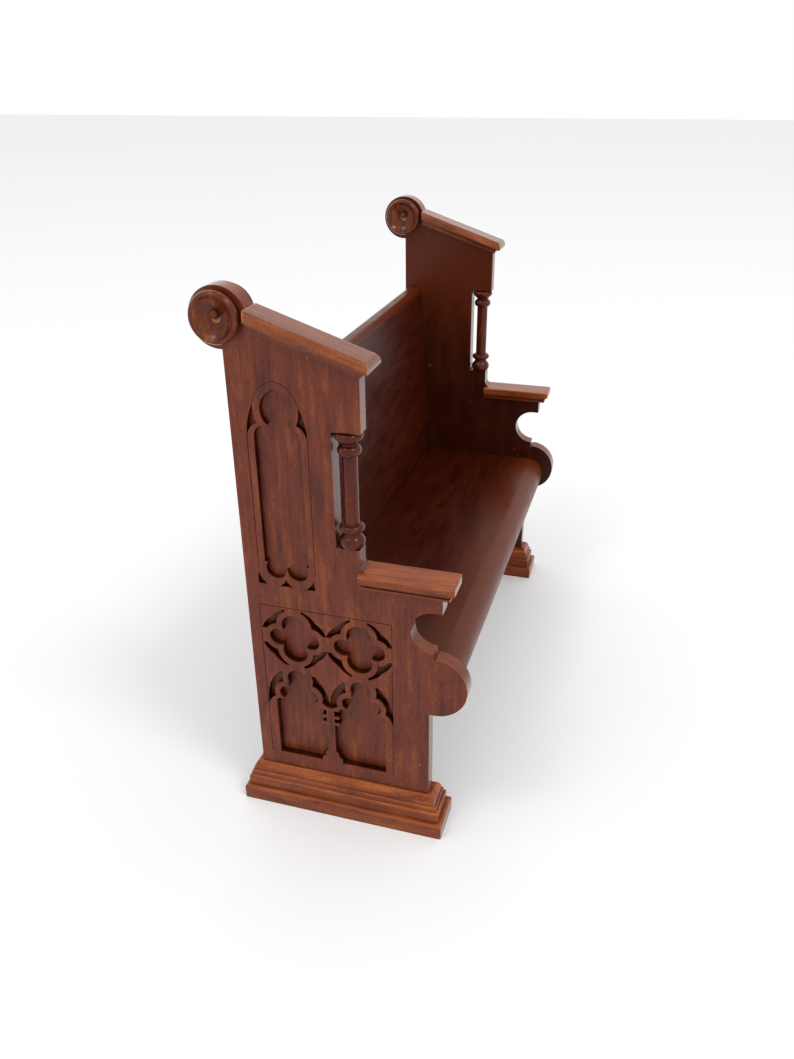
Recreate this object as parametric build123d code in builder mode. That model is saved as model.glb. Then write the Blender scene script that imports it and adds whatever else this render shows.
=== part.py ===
"""Carved church pew, small cabinet-made version, built from its separate wooden pieces.

Millimetres, +Z up.  X runs along the seat, the front of the pew faces -Y and the origin is
on the floor in the middle of the pew.  Every outline is drawn in side view: "forward" is the
distance in front of the back edge of the pew ends, "up" is the height above the floor.
"""

import os
from math import cos, radians, sin, sqrt, tan

from build123d import *

os.makedirs("parts", exist_ok=True)

# ---------------------------------------------------------------- overall sizes
LENGTH_OVER_ENDS = 115.9
END_THICKNESS = 3.5
BACK_EDGE_Y = 19.8
HOUSING_DEPTH = 0.8

# ---------------------------------------------------------------- end panel outline
PANEL_FOOT = 9.05
PANEL_DEPTH = 37.8
SCROLL_FORWARD, SCROLL_UP, SCROLL_RADIUS = 38.7, 36.95, 6.8
COVE_FORWARD, COVE_UP, COVE_RADIUS = 38.65, 49.62, 4.7
COVE_LIP_FORWARD = 38.55
QUIRK_RADIUS = 0.25
NOSE_FORWARD = 40.3
ARM_UP = 57.8
SHOULDER_FORWARD, SHOULDER_UP = 24.15, 65.5
FLARE_REACH, FLARE_HEIGHT = 0.9, 3.0
FLARE_MIDDLE_REACH, FLARE_MIDDLE_HEIGHT = 0.16, 1.0
STILE_FORWARD = 19.5
HEAD_FORWARD, HEAD_UP = 25.0, 88.5
HEAD_CORNER_RADIUS = 0.3
FRONT_ARRIS = 0.35
SLOPE_START_UP = 99.4
SLOPE_ANGLE = 18.5
BOSS_FORWARD, BOSS_UP, BOSS_RADIUS = -0.35, 107.6, 5.55

# ---------------------------------------------------------------- carving on the ends
LOWER_CARVING_DEPTH = 1.6
TALL_CARVING_DEPTH = 1.2
SCRIBE_DEPTH = 0.12
SCRIBE_WIDTH = 0.2

GROUP_FORWARD = 16.5
ROUNDEL_SPACING = 13.8
ROUNDEL_UP = 42.9
ROUNDEL_LOBE_RADIUS, ROUNDEL_LOBE_OFFSET = 5.65, 1.6
FOIL_RADIUS_UPRIGHT, FOIL_OFFSET_UPRIGHT = 2.7, 2.95
FOIL_RADIUS_SIDE, FOIL_OFFSET_SIDE = 2.0, 3.4
FOIL_CENTRE_WIDTH, FOIL_CENTRE_HEIGHT = 4.9, 3.9
ROUNDEL_RIB = 1.1
POCKET_GAP = 3.4

LIGHT_FOOT = 12.35
LIGHT_WIDTH = 10.3
LIGHT_SHOULDER_UP, LIGHT_SHOULDER_RADIUS = 27.3, 1.1
LIGHT_LOW_FOIL_RADIUS, LIGHT_LOW_FOIL_OFFSET, LIGHT_LOW_FOIL_UP = 1.75, 2.5, 28.85
LIGHT_NECK_WIDTH, LIGHT_NECK_UP = 4.2, 32.2
LIGHT_TOP_FOIL_RADIUS, LIGHT_TOP_FOIL_UP = 2.25, 32.9
LIGHT_FOIL_RIB = 1.1
LIGHT_SIDE_RIB, LIGHT_SHOULDER_RIB, LIGHT_RIB_CORNER = 1.6, 0.55, 2.6
LIGHT_ARCH_HALF_WIDTH, LIGHT_ARCH_RADIUS = 6.95, 9.75
LIGHT_ARCH_FOOT, LIGHT_ARCH_SPRING, LIGHT_ARCH_TOP = 25.6, 27.2, 34.4

MULLION_HALF_SHAFT, MULLION_HALF_RING, MULLION_HALF_BASE = 0.82, 1.9, 2.3
MULLION_RINGS = ((22.6, 23.2), (24.3, 24.9), (26.4, 26.9))
MULLION_BASE_UP, MULLION_NECK_UP = 13.3, 15.5
MULLION_STEP_LOW, MULLION_STEP_HIGH, MULLION_HALF_STEP = 13.9, 14.7, 1.5

TALL_FORWARD = 9.1
TALL_WIDTH = 9.2
TALL_FOOT, TALL_SHOULDER_UP = 60.2, 88.7
TALL_SHOULDER_RADIUS = 2.4
TALL_FOIL_RADIUS, TALL_FOIL_OFFSET, TALL_FOIL_UP = 4.15, 1.1, 91.6
TALL_HEAD_RIB = 1.35
TALL_SIDE_RIB, TALL_SHOULDER_RIB, TALL_RIB_CORNER = 1.3, 0.6, 3.5
TALL_ARCH_SPRING, TALL_ARCH_TOP = 86.7, 94.0
TALL_ARCH_HALF_WIDTH, TALL_ARCH_RADIUS = 5.9, 12.3
TALL_LOBE_RADIUS, TALL_LOBE_OFFSET, TALL_LOBE_UP = 2.15, 2.25, 58.95
TALL_SCRIBE_FOOT = 58.6
TALL_HEAD_SCRIBE_UP = 92.8

# Corners of the little triangles: forward, and height above the foot they share.
SPANDREL_FOOT = 55.1
BACK_SPANDREL = ((2.8, 0), (4.8, 0), (2.9, 3.1))
MIDDLE_SPANDREL = ((6.95, 0), (10.65, 0), (8.75, 2.1))
FRONT_SPANDREL = ((12.7, 0), (14.8, 0), (14.7, 2.5))
SPANDREL_BOW = 0.45
FRAME_BACK, FRAME_FRONT, FRAME_FOOT, FRAME_TOP = 2.4, 30.3, 12.3, 50.3

# ---------------------------------------------------------------- plinth
PLINTH_BACK, PLINTH_FRONT = -0.5, 38.15
PLINTH_TIER_OVERHANG, PLINTH_TIER_UP, PLINTH_TIER_ROUND = 3.25, 3.3, 0.8
PLINTH_STEP_OVERHANG, PLINTH_STEP_UP, PLINTH_STEP_ROUND = 2.25, 5.8, 0.45
PLINTH_BEAD_OVERHANG, PLINTH_BEAD_UP, PLINTH_BEAD_ROUND = 1.75, 6.95, 0.4
PLINTH_SWELL_OVERHANG, PLINTH_SWELL_UP = 1.1, 8.1
PLINTH_TOP_OVERHANG = 0.35
PLINTH_CORNER_RADIUS = 0.4

# ---------------------------------------------------------------- arm cap
ARM_CAP_BACK, ARM_CAP_FRONT = SHOULDER_FORWARD, 41.1
ARM_CAP_HEIGHT = 3.1
ARM_CAP_OVERHANG, ARM_CAP_LIP_LOW = 1.7, 1.5
ARM_CAP_BEAD_OVERHANG, ARM_CAP_BEAD_HEIGHT = 0.75, 0.45
ARM_CAP_NECK_OVERHANG, ARM_CAP_COVE_OVERHANG, ARM_CAP_COVE_HEIGHT = 0.5, 0.8, 1.2
ARM_CAP_ARRIS = 0.4
ARM_CAP_CORNER_RADIUS = 0.9

# ---------------------------------------------------------------- slope cap
SLOPE_CAP_HEIGHT = 3.1
SLOPE_CAP_FILLET_OVERHANG, SLOPE_CAP_FILLET_HEIGHT = 0.95, 0.65
SLOPE_CAP_COVE_OVERHANG, SLOPE_CAP_COVE_HEIGHT = 1.25, 1.1
SLOPE_CAP_LIP_OVERHANG, SLOPE_CAP_LIP_LOW, SLOPE_CAP_LIP_HIGH = 2.1, 1.4, 1.6
SLOPE_CAP_SWELL_OVERHANG, SLOPE_CAP_SWELL_HEIGHT = 1.77, 2.45
SLOPE_CAP_TOP_OVERHANG = 1.0
SLOPE_CAP_FRONT = -0.3
SLOPE_CAP_LENGTH = 30.0

# ---------------------------------------------------------------- colonnette
COLUMN_FORWARD = 22.25
COLUMN_SHAFT_RADIUS = 1.45
COLUMN_TENON_RADIUS, COLUMN_TENON_LENGTH = 0.8, 1.8
# Turned beads: lower edge, upper edge, radius at both edges, radius of the swelling.
COLUMN_BEADS = (
    (SHOULDER_UP, SHOULDER_UP + 2.4, 1.9, 2.5),
    (SHOULDER_UP + 3.3, SHOULDER_UP + 4.8, COLUMN_SHAFT_RADIUS, 2.4),
    (HEAD_UP - 4.5, HEAD_UP - 2.4, COLUMN_SHAFT_RADIUS, 2.25),
    (HEAD_UP - 1.4, HEAD_UP, 2.3, 2.65),
)

# ---------------------------------------------------------------- rosettes
ROSETTE_LIFT = 0.3
ROSETTE_DEPTH = 2.3
ROSETTE_NECK_RADIUS, ROSETTE_NECK_HEIGHT = 4.1, 0.45
ROSETTE_RING_RADIUS, ROSETTE_RING_MIDDLE = 4.7, 1.35
ROSETTE_CREST_RADIUS, ROSETTE_LIP_RADIUS, ROSETTE_LIP_HEIGHT = 4.2, 3.95, 2.2
ROSETTE_DISH_RADIUS, ROSETTE_DISH_HEIGHT, ROSETTE_DISH_FLOOR = 2.5, 1.0, 0.5
ROSETTE_FLAT_RADIUS = 0.5
BUTTON_RADIUS, BUTTON_SHOULDER, BUTTON_HEIGHT, BUTTON_LIFT = 0.85, 0.8, 1.6, 0.5
BUTTON_CROWN_RADIUS, BUTTON_CROWN_HEIGHT = 0.62, 1.37
BUTTON_FLAT_RADIUS = 0.2

# ---------------------------------------------------------------- seat and back
SEAT_UP = 39.7
SEAT_THICKNESS = 3.6
NOSING_FORWARD, NOSING_RADIUS = 38.25, 4.5
BACK_TOP_UP, BACK_FOOT_UP = 89.0, 26.0
BACK_TOP_FORWARD, BACK_SEAT_FORWARD = 4.55, 7.05
BACK_THICKNESS = 4.0
BACK_TOP_ROUND = 1.4
RAIL_THICKNESS = 3.0
FRONT_RAIL_FORWARD, FRONT_RAIL_HEIGHT = 30.0, 9.0
REAR_RAIL_HEIGHT = 6.0
BEARER_SIDE, BEARER_START, BEARER_END = 2.6, 11.2, 29.4
BOARD_TONGUE = 1.0

# ---------------------------------------------------------------- dowels and pins
DOWEL_RADIUS = 0.8
SMALL_DOWEL_RADIUS = 0.7
ARM_DOWEL_FORWARDS = (28.0, 36.8)
ARM_DOWEL_LOW, ARM_DOWEL_HIGH = 55.3, 59.4
PLINTH_DOWEL_FORWARDS = (8.0, 30.0)
PLINTH_DOWEL_LOW, PLINTH_DOWEL_HIGH = 5.3, 11.6
SLOPE_DOWEL_STATIONS = (-4.5, -12.5)
SLOPE_DOWEL_DEEP, SLOPE_DOWEL_PROUD = 3.2, 1.7
ROSETTE_DOWEL_RADIUS, ROSETTE_DOWEL_PROUD = 0.8, 0.4
PIN_RADIUS, PIN_HEAD_RADIUS, PIN_HEAD_HEIGHT = 0.3, 0.55, 0.3
PIN_INTO_PANEL = 1.2
PIN_END_DISTANCE = 3.5

OUTER_X = -LENGTH_OVER_ENDS / 2
INNER_X = OUTER_X + END_THICKNESS
MIDDLE_X = OUTER_X + END_THICKNESS / 2
SLOPE_RISE = tan(radians(SLOPE_ANGLE))
BACK_SLOPE = (BACK_SEAT_FORWARD - BACK_TOP_FORWARD) / (BACK_TOP_UP - SEAT_UP)


def side_plane(x):
    """Plane in side view at x: local x is forward, local y is up, normal towards -X."""
    return Plane(origin=(x, BACK_EDGE_Y, 0), x_dir=(0, -1, 0), z_dir=(-1, 0, 0))


def front_plane(forward):
    """Plane in end view: local x is +X from the pew end's outer face, local y is up."""
    return Plane(origin=(OUTER_X, BACK_EDGE_Y - forward, 0), x_dir=(1, 0, 0), z_dir=(0, -1, 0))


def block(left, low, right, high, mode=Mode.ADD):
    """Rectangle drawn from its lower left corner to its upper right corner."""
    with Locations(((left + right) / 2, (low + high) / 2)):
        Rectangle(right - left, high - low, mode=mode)


def disc(across, up, radius, mode=Mode.ADD):
    with Locations((across, up)):
        Circle(radius, mode=mode)


def slope_up(forward):
    """Height of the sloping top edge of the pew end."""
    return SLOPE_START_UP + (HEAD_FORWARD - forward) * SLOPE_RISE


def mirrored(shape):
    """The same piece at the other end of the pew."""
    return mirror(shape, about=Plane.YZ)


def save(name, shape):
    shape.label = name
    export_step(shape, f"parts/{name}.step")


def save_pair(name, left_shape):
    save(f"left_{name}", left_shape)
    save(f"right_{name}", mirrored(left_shape))


# ================================================================ seat and back outlines
def seat_outline():
    """Seat in side view: a board with a thick rolled front."""
    with BuildSketch(mode=Mode.PRIVATE) as board:
        board_back = BACK_SEAT_FORWARD - BOARD_TONGUE
        block(board_back, SEAT_UP - SEAT_THICKNESS, NOSING_FORWARD, SEAT_UP)
        disc(NOSING_FORWARD, SEAT_UP - NOSING_RADIUS, NOSING_RADIUS)
        add(back_outline(), mode=Mode.SUBTRACT)
    return board.sketch


def back_front_face(up):
    """Forward position of the leaning front face of the back at a given height."""
    return BACK_TOP_FORWARD + (BACK_TOP_UP - up) * BACK_SLOPE


def back_outline():
    """Back in side view: a leaning board with a rounded top and a level foot."""
    top_front = back_front_face(BACK_TOP_UP)
    foot_front = back_front_face(BACK_FOOT_UP)
    with BuildSketch(mode=Mode.PRIVATE) as board:
        with BuildLine():
            Polyline(
                (top_front - BACK_THICKNESS, BACK_TOP_UP),
                (top_front, BACK_TOP_UP),
                (foot_front, BACK_FOOT_UP),
                (foot_front - BACK_THICKNESS, BACK_FOOT_UP),
                close=True,
            )
        make_face()
        fillet(board.vertices().sort_by(Axis.Y)[-2:], BACK_TOP_ROUND)
    return board.sketch


# ================================================================ carving outlines
def pointed_arch(centre, spring, half_width, radius, top):
    """Pointed arch struck from the springing line, cut off level at the top."""
    reach = radius - half_width
    with BuildSketch(mode=Mode.PRIVATE) as arch:
        disc(centre + reach, spring, radius)
        disc(centre - reach, spring, radius, mode=Mode.INTERSECT)
        with Locations((centre, (spring + top) / 2)):
            Rectangle(2 * half_width, top - spring, mode=Mode.INTERSECT)
    return arch.sketch


def quatrefoil(centre, up, grow):
    """Four foils round a centre; grow widens every foil to draw the rib round it."""
    with BuildSketch(mode=Mode.PRIVATE) as foils:
        for side in (-1, 1):
            disc(centre, up + side * FOIL_OFFSET_UPRIGHT, FOIL_RADIUS_UPRIGHT + grow)
            disc(centre + side * FOIL_OFFSET_SIDE, up, FOIL_RADIUS_SIDE + grow)
        with Locations((centre, up)):
            Rectangle(FOIL_CENTRE_WIDTH, FOIL_CENTRE_HEIGHT)
    return foils.sketch


def roundel_pockets(centre, up):
    """Four sunk pockets between the rib of a quatrefoil and the lobed ring round it."""
    with BuildSketch(mode=Mode.PRIVATE) as pockets:
        for side in (-1, 1):
            disc(centre, up + side * ROUNDEL_LOBE_OFFSET, ROUNDEL_LOBE_RADIUS)
            disc(centre + side * ROUNDEL_LOBE_OFFSET, up, ROUNDEL_LOBE_RADIUS)
        add(quatrefoil(centre, up, ROUNDEL_RIB), mode=Mode.SUBTRACT)
        reach = 2 * (ROUNDEL_LOBE_OFFSET + ROUNDEL_LOBE_RADIUS)
        with Locations((centre, up)):
            Rectangle(reach, POCKET_GAP, mode=Mode.SUBTRACT)
            Rectangle(POCKET_GAP, reach, mode=Mode.SUBTRACT)
    return pockets.sketch


def light_outline(centre, foil_grow, side_grow, shoulder_grow, corner):
    """Straight body with rounded shoulders, two low foils, a neck and a top foil."""
    half_body = LIGHT_WIDTH / 2 + side_grow
    half_neck = LIGHT_NECK_WIDTH / 2 + foil_grow
    with BuildSketch(mode=Mode.PRIVATE) as outline:
        block(centre - half_body, LIGHT_FOOT, centre + half_body, LIGHT_SHOULDER_UP + shoulder_grow)
        upper_corners = outline.vertices().sort_by(Axis.Y)[-2:]
        fillet(upper_corners, corner)
        for side in (-1, 1):
            disc(
                centre + side * LIGHT_LOW_FOIL_OFFSET,
                LIGHT_LOW_FOIL_UP,
                LIGHT_LOW_FOIL_RADIUS + foil_grow,
            )
        block(centre - half_neck, LIGHT_FOOT, centre + half_neck, LIGHT_NECK_UP)
        disc(centre, LIGHT_TOP_FOIL_UP, LIGHT_TOP_FOIL_RADIUS + foil_grow)
    return outline.sketch


def light_field(centre):
    """Sunk cusped field of a lower light."""
    return light_outline(centre, 0, 0, 0, LIGHT_SHOULDER_RADIUS)


def light_pockets(centre):
    """Sunk pockets between the rib round a lower light and the pointed arch over it."""
    arch = pointed_arch(
        centre, LIGHT_ARCH_SPRING, LIGHT_ARCH_HALF_WIDTH, LIGHT_ARCH_RADIUS, LIGHT_ARCH_TOP
    )
    rib = light_outline(
        centre, LIGHT_FOIL_RIB, LIGHT_SIDE_RIB, LIGHT_SHOULDER_RIB, LIGHT_RIB_CORNER
    )
    with BuildSketch(mode=Mode.PRIVATE) as pockets:
        add(arch)
        block(
            centre - LIGHT_ARCH_HALF_WIDTH,
            LIGHT_ARCH_FOOT,
            centre + LIGHT_ARCH_HALF_WIDTH,
            LIGHT_ARCH_SPRING,
        )
        add(rib, mode=Mode.SUBTRACT)
    return pockets.sketch


def mullion():
    """Little turned shaft left standing between the two lower lights."""
    middle = GROUP_FORWARD
    with BuildSketch(mode=Mode.PRIVATE) as shaft:
        block(
            middle - MULLION_HALF_SHAFT,
            LIGHT_FOOT,
            middle + MULLION_HALF_SHAFT,
            MULLION_RINGS[-1][1],
        )
        for ring_low, ring_high in MULLION_RINGS:
            block(middle - MULLION_HALF_RING, ring_low, middle + MULLION_HALF_RING, ring_high)
        block(middle - MULLION_HALF_BASE, LIGHT_FOOT, middle + MULLION_HALF_BASE, MULLION_BASE_UP)
        for side in (-1, 1):
            base_end = (middle + side * MULLION_HALF_BASE, MULLION_BASE_UP)
            step_low = (middle + side * MULLION_HALF_STEP, MULLION_STEP_LOW)
            step_high = (middle + side * MULLION_HALF_STEP, MULLION_STEP_HIGH)
            neck_end = (middle + side * MULLION_HALF_SHAFT, MULLION_NECK_UP)
            with BuildLine():
                Line((middle, MULLION_BASE_UP), base_end)
                Line(base_end, step_low)
                Line(step_low, step_high)
                Line(step_high, neck_end)
                Line(neck_end, (middle, MULLION_NECK_UP))
                Line((middle, MULLION_NECK_UP), (middle, MULLION_BASE_UP))
            make_face()
    return shaft.sketch


def lower_carving():
    """Two roundels over two cusped lights, as one set of sunk outlines."""
    light_centres = [GROUP_FORWARD + side * ROUNDEL_SPACING / 2 for side in (-1, 1)]
    gap_half = ROUNDEL_SPACING / 2 - LIGHT_WIDTH / 2
    with BuildSketch(mode=Mode.PRIVATE) as sunk:
        for centre in light_centres:
            add(light_pockets(centre))
            add(light_field(centre))
            add(roundel_pockets(centre, ROUNDEL_UP))
            add(quatrefoil(centre, ROUNDEL_UP, 0))
        block(
            GROUP_FORWARD - gap_half,
            LIGHT_FOOT,
            GROUP_FORWARD + gap_half,
            MULLION_RINGS[-1][0],
        )
        add(mullion(), mode=Mode.SUBTRACT)
    return sunk.sketch


def lower_frame_scribe():
    """Faint line down both sides and across the top of the lower carving."""
    with BuildSketch(mode=Mode.PRIVATE) as line:
        block(FRAME_BACK, FRAME_FOOT, FRAME_FRONT, FRAME_TOP)
        block(
            FRAME_BACK + SCRIBE_WIDTH,
            FRAME_FOOT,
            FRAME_FRONT - SCRIBE_WIDTH,
            FRAME_TOP - SCRIBE_WIDTH,
            mode=Mode.SUBTRACT,
        )
    return line.sketch


def tall_head(grow):
    """Pointed upper foil of the tall light; grow widens it to draw the rib round it."""
    with BuildSketch(mode=Mode.PRIVATE) as foil:
        disc(TALL_FORWARD - TALL_FOIL_OFFSET, TALL_FOIL_UP, TALL_FOIL_RADIUS + grow)
        disc(
            TALL_FORWARD + TALL_FOIL_OFFSET,
            TALL_FOIL_UP,
            TALL_FOIL_RADIUS + grow,
            mode=Mode.INTERSECT,
        )
    return foil.sketch


def tall_body(side_grow, shoulder_grow, corner):
    """Straight-sided body of the tall light with rounded shoulders."""
    half = TALL_WIDTH / 2 + side_grow
    with BuildSketch(mode=Mode.PRIVATE) as body:
        block(
            TALL_FORWARD - half, TALL_FOOT, TALL_FORWARD + half, TALL_SHOULDER_UP + shoulder_grow
        )
        upper_corners = body.vertices().sort_by(Axis.Y)[-2:]
        fillet(upper_corners, corner)
    return body.sketch


def tall_carving():
    """Single tall light: cusped head, straight body and two lobes at the foot."""
    arch = pointed_arch(
        TALL_FORWARD, TALL_ARCH_SPRING, TALL_ARCH_HALF_WIDTH, TALL_ARCH_RADIUS, TALL_ARCH_TOP
    )
    rib = tall_body(TALL_SIDE_RIB, TALL_SHOULDER_RIB, TALL_RIB_CORNER)
    with BuildSketch(mode=Mode.PRIVATE) as sunk:
        add(arch - tall_head(TALL_HEAD_RIB) - rib)
        add(tall_head(0))
        add(tall_body(0, 0, TALL_SHOULDER_RADIUS))
        for side in (-1, 1):
            disc(TALL_FORWARD + side * TALL_LOBE_OFFSET, TALL_LOBE_UP, TALL_LOBE_RADIUS)
        block(
            TALL_FORWARD - TALL_LOBE_OFFSET,
            TALL_LOBE_UP,
            TALL_FORWARD + TALL_LOBE_OFFSET,
            TALL_FOOT,
        )
    return sunk.sketch


def hollow_triangle(corners, hollow_sides):
    """Sunk triangle; its hollow sides bow in part of the way to the middle."""
    (a, b, c) = [Vector(forward, SPANDREL_FOOT + height) for forward, height in corners]
    middle = (a + b + c) / 3
    sides = ((a, b), (b, c), (c, a))
    with BuildSketch(mode=Mode.PRIVATE) as triangle:
        with BuildLine():
            for number, (start, end) in enumerate(sides):
                halfway = (start + end) / 2
                if number in hollow_sides:
                    ThreePointArc(start, halfway + (middle - halfway) * SPANDREL_BOW, end)
                else:
                    Line(start, end)
        make_face()
    return triangle.sketch


def tall_spandrels():
    """Three little sunk triangles under the lobes of the tall light."""
    with BuildSketch(mode=Mode.PRIVATE) as triangles:
        add(hollow_triangle(BACK_SPANDREL, (1,)))
        add(hollow_triangle(MIDDLE_SPANDREL, (1, 2)))
        add(hollow_triangle(FRONT_SPANDREL, (2,)))
    return triangles.sketch


def tall_scribe():
    """Thin lines carrying the rib over the head of the tall light and down its sides."""
    outer_head = tall_head(TALL_HEAD_RIB + SCRIBE_WIDTH)
    with BuildSketch(mode=Mode.PRIVATE) as line:
        add(outer_head - tall_head(TALL_HEAD_RIB))
        block(
            TALL_FORWARD - 2 * TALL_FOIL_RADIUS,
            TALL_FOOT,
            TALL_FORWARD + 2 * TALL_FOIL_RADIUS,
            TALL_HEAD_SCRIBE_UP,
            mode=Mode.SUBTRACT,
        )
        for side in (-1, 1):
            rib_edge = TALL_FORWARD + side * TALL_ARCH_HALF_WIDTH
            block(
                rib_edge - SCRIBE_WIDTH / 2,
                TALL_SCRIBE_FOOT,
                rib_edge + SCRIBE_WIDTH / 2,
                TALL_ARCH_SPRING,
            )
    return line.sketch


# ================================================================ end panel
def slope_plane(x):
    """Side view plane lying along the sloping top: local x down the slope, local y off it."""
    down = radians(SLOPE_ANGLE)
    return Plane(
        origin=(x, BACK_EDGE_Y - HEAD_FORWARD, SLOPE_START_UP),
        x_dir=(0, -cos(down), -sin(down)),
        z_dir=(-1, 0, 0),
    )


def upright_rods(forwards, low, high, radius):
    """Vertical rods in the middle of the left pew end."""
    with BuildPart(mode=Mode.PRIVATE) as rods:
        with BuildSketch(Plane.XY.offset(low)):
            for forward in forwards:
                disc(MIDDLE_X, BACK_EDGE_Y - forward, radius)
        extrude(amount=high - low)
    return rods.part


def slope_rods():
    """Rods standing square to the sloping top of the left pew end."""
    down = radians(SLOPE_ANGLE)
    normal = (0, -sin(down), cos(down))
    with BuildPart(mode=Mode.PRIVATE) as rods:
        for station in SLOPE_DOWEL_STATIONS:
            foot = slope_plane(MIDDLE_X).from_local_coords((station, -SLOPE_DOWEL_DEEP, 0))
            with BuildSketch(Plane(origin=foot, x_dir=(1, 0, 0), z_dir=normal)):
                Circle(SMALL_DOWEL_RADIUS)
            extrude(amount=SLOPE_DOWEL_DEEP + SLOPE_DOWEL_PROUD)
    return rods.part


def rosette_rod():
    """Rod through the left pew end at the middle of the boss."""
    with BuildPart(mode=Mode.PRIVATE) as rod:
        with BuildSketch(side_plane(OUTER_X - ROSETTE_DOWEL_PROUD)):
            disc(BOSS_FORWARD, BOSS_UP, ROSETTE_DOWEL_RADIUS)
        extrude(amount=-(END_THICKNESS + 2 * ROSETTE_DOWEL_PROUD))
    return rod.part


def column_rod():
    """Space taken by the round tenons of the colonnette."""
    return upright_rods(
        (COLUMN_FORWARD,),
        SHOULDER_UP - COLUMN_TENON_LENGTH,
        HEAD_UP + COLUMN_TENON_LENGTH,
        COLUMN_TENON_RADIUS,
    )


def shoulder_flare():
    """Hollow foot of the shoulder, running out on to the top of the arm cap."""
    cap_top = ARM_UP + ARM_CAP_HEIGHT
    high = (SHOULDER_FORWARD, cap_top + FLARE_HEIGHT)
    middle = (SHOULDER_FORWARD + FLARE_MIDDLE_REACH, cap_top + FLARE_MIDDLE_HEIGHT)
    toe = (SHOULDER_FORWARD + FLARE_REACH, cap_top)
    corner = (SHOULDER_FORWARD - 1, cap_top)
    with BuildSketch(mode=Mode.PRIVATE) as flare:
        with BuildLine():
            Line(corner, toe)
            ThreePointArc(toe, middle, high)
            Line(high, (corner[0], high[1]))
            Line((corner[0], high[1]), corner)
        make_face()
    return flare.sketch


def panel_outline():
    """Pew end in side view, from the foot up to the boss at the back of the top."""
    with BuildSketch(mode=Mode.PRIVATE) as outline:
        block(0, PANEL_FOOT, PANEL_DEPTH, SCROLL_UP + SCROLL_RADIUS)
        disc(SCROLL_FORWARD, SCROLL_UP, SCROLL_RADIUS)
        block(0, SCROLL_UP + SCROLL_RADIUS, COVE_LIP_FORWARD, COVE_UP + COVE_RADIUS)
        disc(COVE_FORWARD, COVE_UP, COVE_RADIUS, mode=Mode.SUBTRACT)
        disc(
            COVE_LIP_FORWARD + QUIRK_RADIUS,
            SCROLL_UP + SCROLL_RADIUS,
            QUIRK_RADIUS,
            mode=Mode.SUBTRACT,
        )
        block(0, COVE_UP + COVE_RADIUS, NOSE_FORWARD, ARM_UP)
        block(0, ARM_UP, SHOULDER_FORWARD, SHOULDER_UP)
        add(shoulder_flare())
        block(0, SHOULDER_UP, STILE_FORWARD, HEAD_UP)
        with BuildLine():
            corner_start = (HEAD_FORWARD - HEAD_CORNER_RADIUS, HEAD_UP)
            corner_end = (HEAD_FORWARD, HEAD_UP + HEAD_CORNER_RADIUS)
            Line((0, HEAD_UP), corner_start)
            RadiusArc(corner_start, corner_end, -HEAD_CORNER_RADIUS)
            Line(corner_end, (HEAD_FORWARD, SLOPE_START_UP))
            Line((HEAD_FORWARD, SLOPE_START_UP), (0, slope_up(0)))
            Line((0, slope_up(0)), (0, HEAD_UP))
        make_face()
        disc(BOSS_FORWARD, BOSS_UP, BOSS_RADIUS)
    return outline.sketch


# ================================================================ mouldings
def rounded_corner(edge, top, radius):
    """Quarter round from the vertical face at edge up on to the level top."""
    inset = radius * (1 - sqrt(0.5))
    ThreePointArc((edge, top - radius), (edge - inset, top - inset), (edge - radius, top))


def plinth_edge(core):
    """Stepped base moulding; returns where it starts on the floor and ends under the panel."""
    tier = core + PLINTH_TIER_OVERHANG
    step = core + PLINTH_STEP_OVERHANG
    bead = core + PLINTH_BEAD_OVERHANG
    top = core + PLINTH_TOP_OVERHANG
    Line((tier, 0), (tier, PLINTH_TIER_UP - PLINTH_TIER_ROUND))
    rounded_corner(tier, PLINTH_TIER_UP, PLINTH_TIER_ROUND)
    Line((tier - PLINTH_TIER_ROUND, PLINTH_TIER_UP), (step, PLINTH_TIER_UP))
    Line((step, PLINTH_TIER_UP), (step, PLINTH_STEP_UP - PLINTH_STEP_ROUND))
    rounded_corner(step, PLINTH_STEP_UP, PLINTH_STEP_ROUND)
    Line((step - PLINTH_STEP_ROUND, PLINTH_STEP_UP), (bead, PLINTH_STEP_UP))
    Line((bead, PLINTH_STEP_UP), (bead, PLINTH_BEAD_UP - PLINTH_BEAD_ROUND))
    rounded_corner(bead, PLINTH_BEAD_UP, PLINTH_BEAD_ROUND)
    ThreePointArc(
        (bead - PLINTH_BEAD_ROUND, PLINTH_BEAD_UP),
        (core + PLINTH_SWELL_OVERHANG, PLINTH_SWELL_UP),
        (top, PANEL_FOOT),
    )
    return (tier, 0), (top, PANEL_FOOT)


def arm_cap_edge(core):
    """Moulded edge of the arm cap; returns its lowest and highest points."""
    lip = core + ARM_CAP_OVERHANG
    bead = core + ARM_CAP_BEAD_OVERHANG
    neck = core + ARM_CAP_NECK_OVERHANG
    bead_up = ARM_UP + ARM_CAP_BEAD_HEIGHT
    lip_up = ARM_UP + ARM_CAP_LIP_LOW
    top = ARM_UP + ARM_CAP_HEIGHT
    Line((bead, ARM_UP), (bead, bead_up))
    Line((bead, bead_up), (neck, bead_up))
    cove = (core + ARM_CAP_COVE_OVERHANG, ARM_UP + ARM_CAP_COVE_HEIGHT)
    ThreePointArc((neck, bead_up), cove, (lip, lip_up))
    Line((lip, lip_up), (lip, top - ARM_CAP_ARRIS))
    rounded_corner(lip, top, ARM_CAP_ARRIS)
    return (bead, ARM_UP), (lip - ARM_CAP_ARRIS, top)


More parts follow.
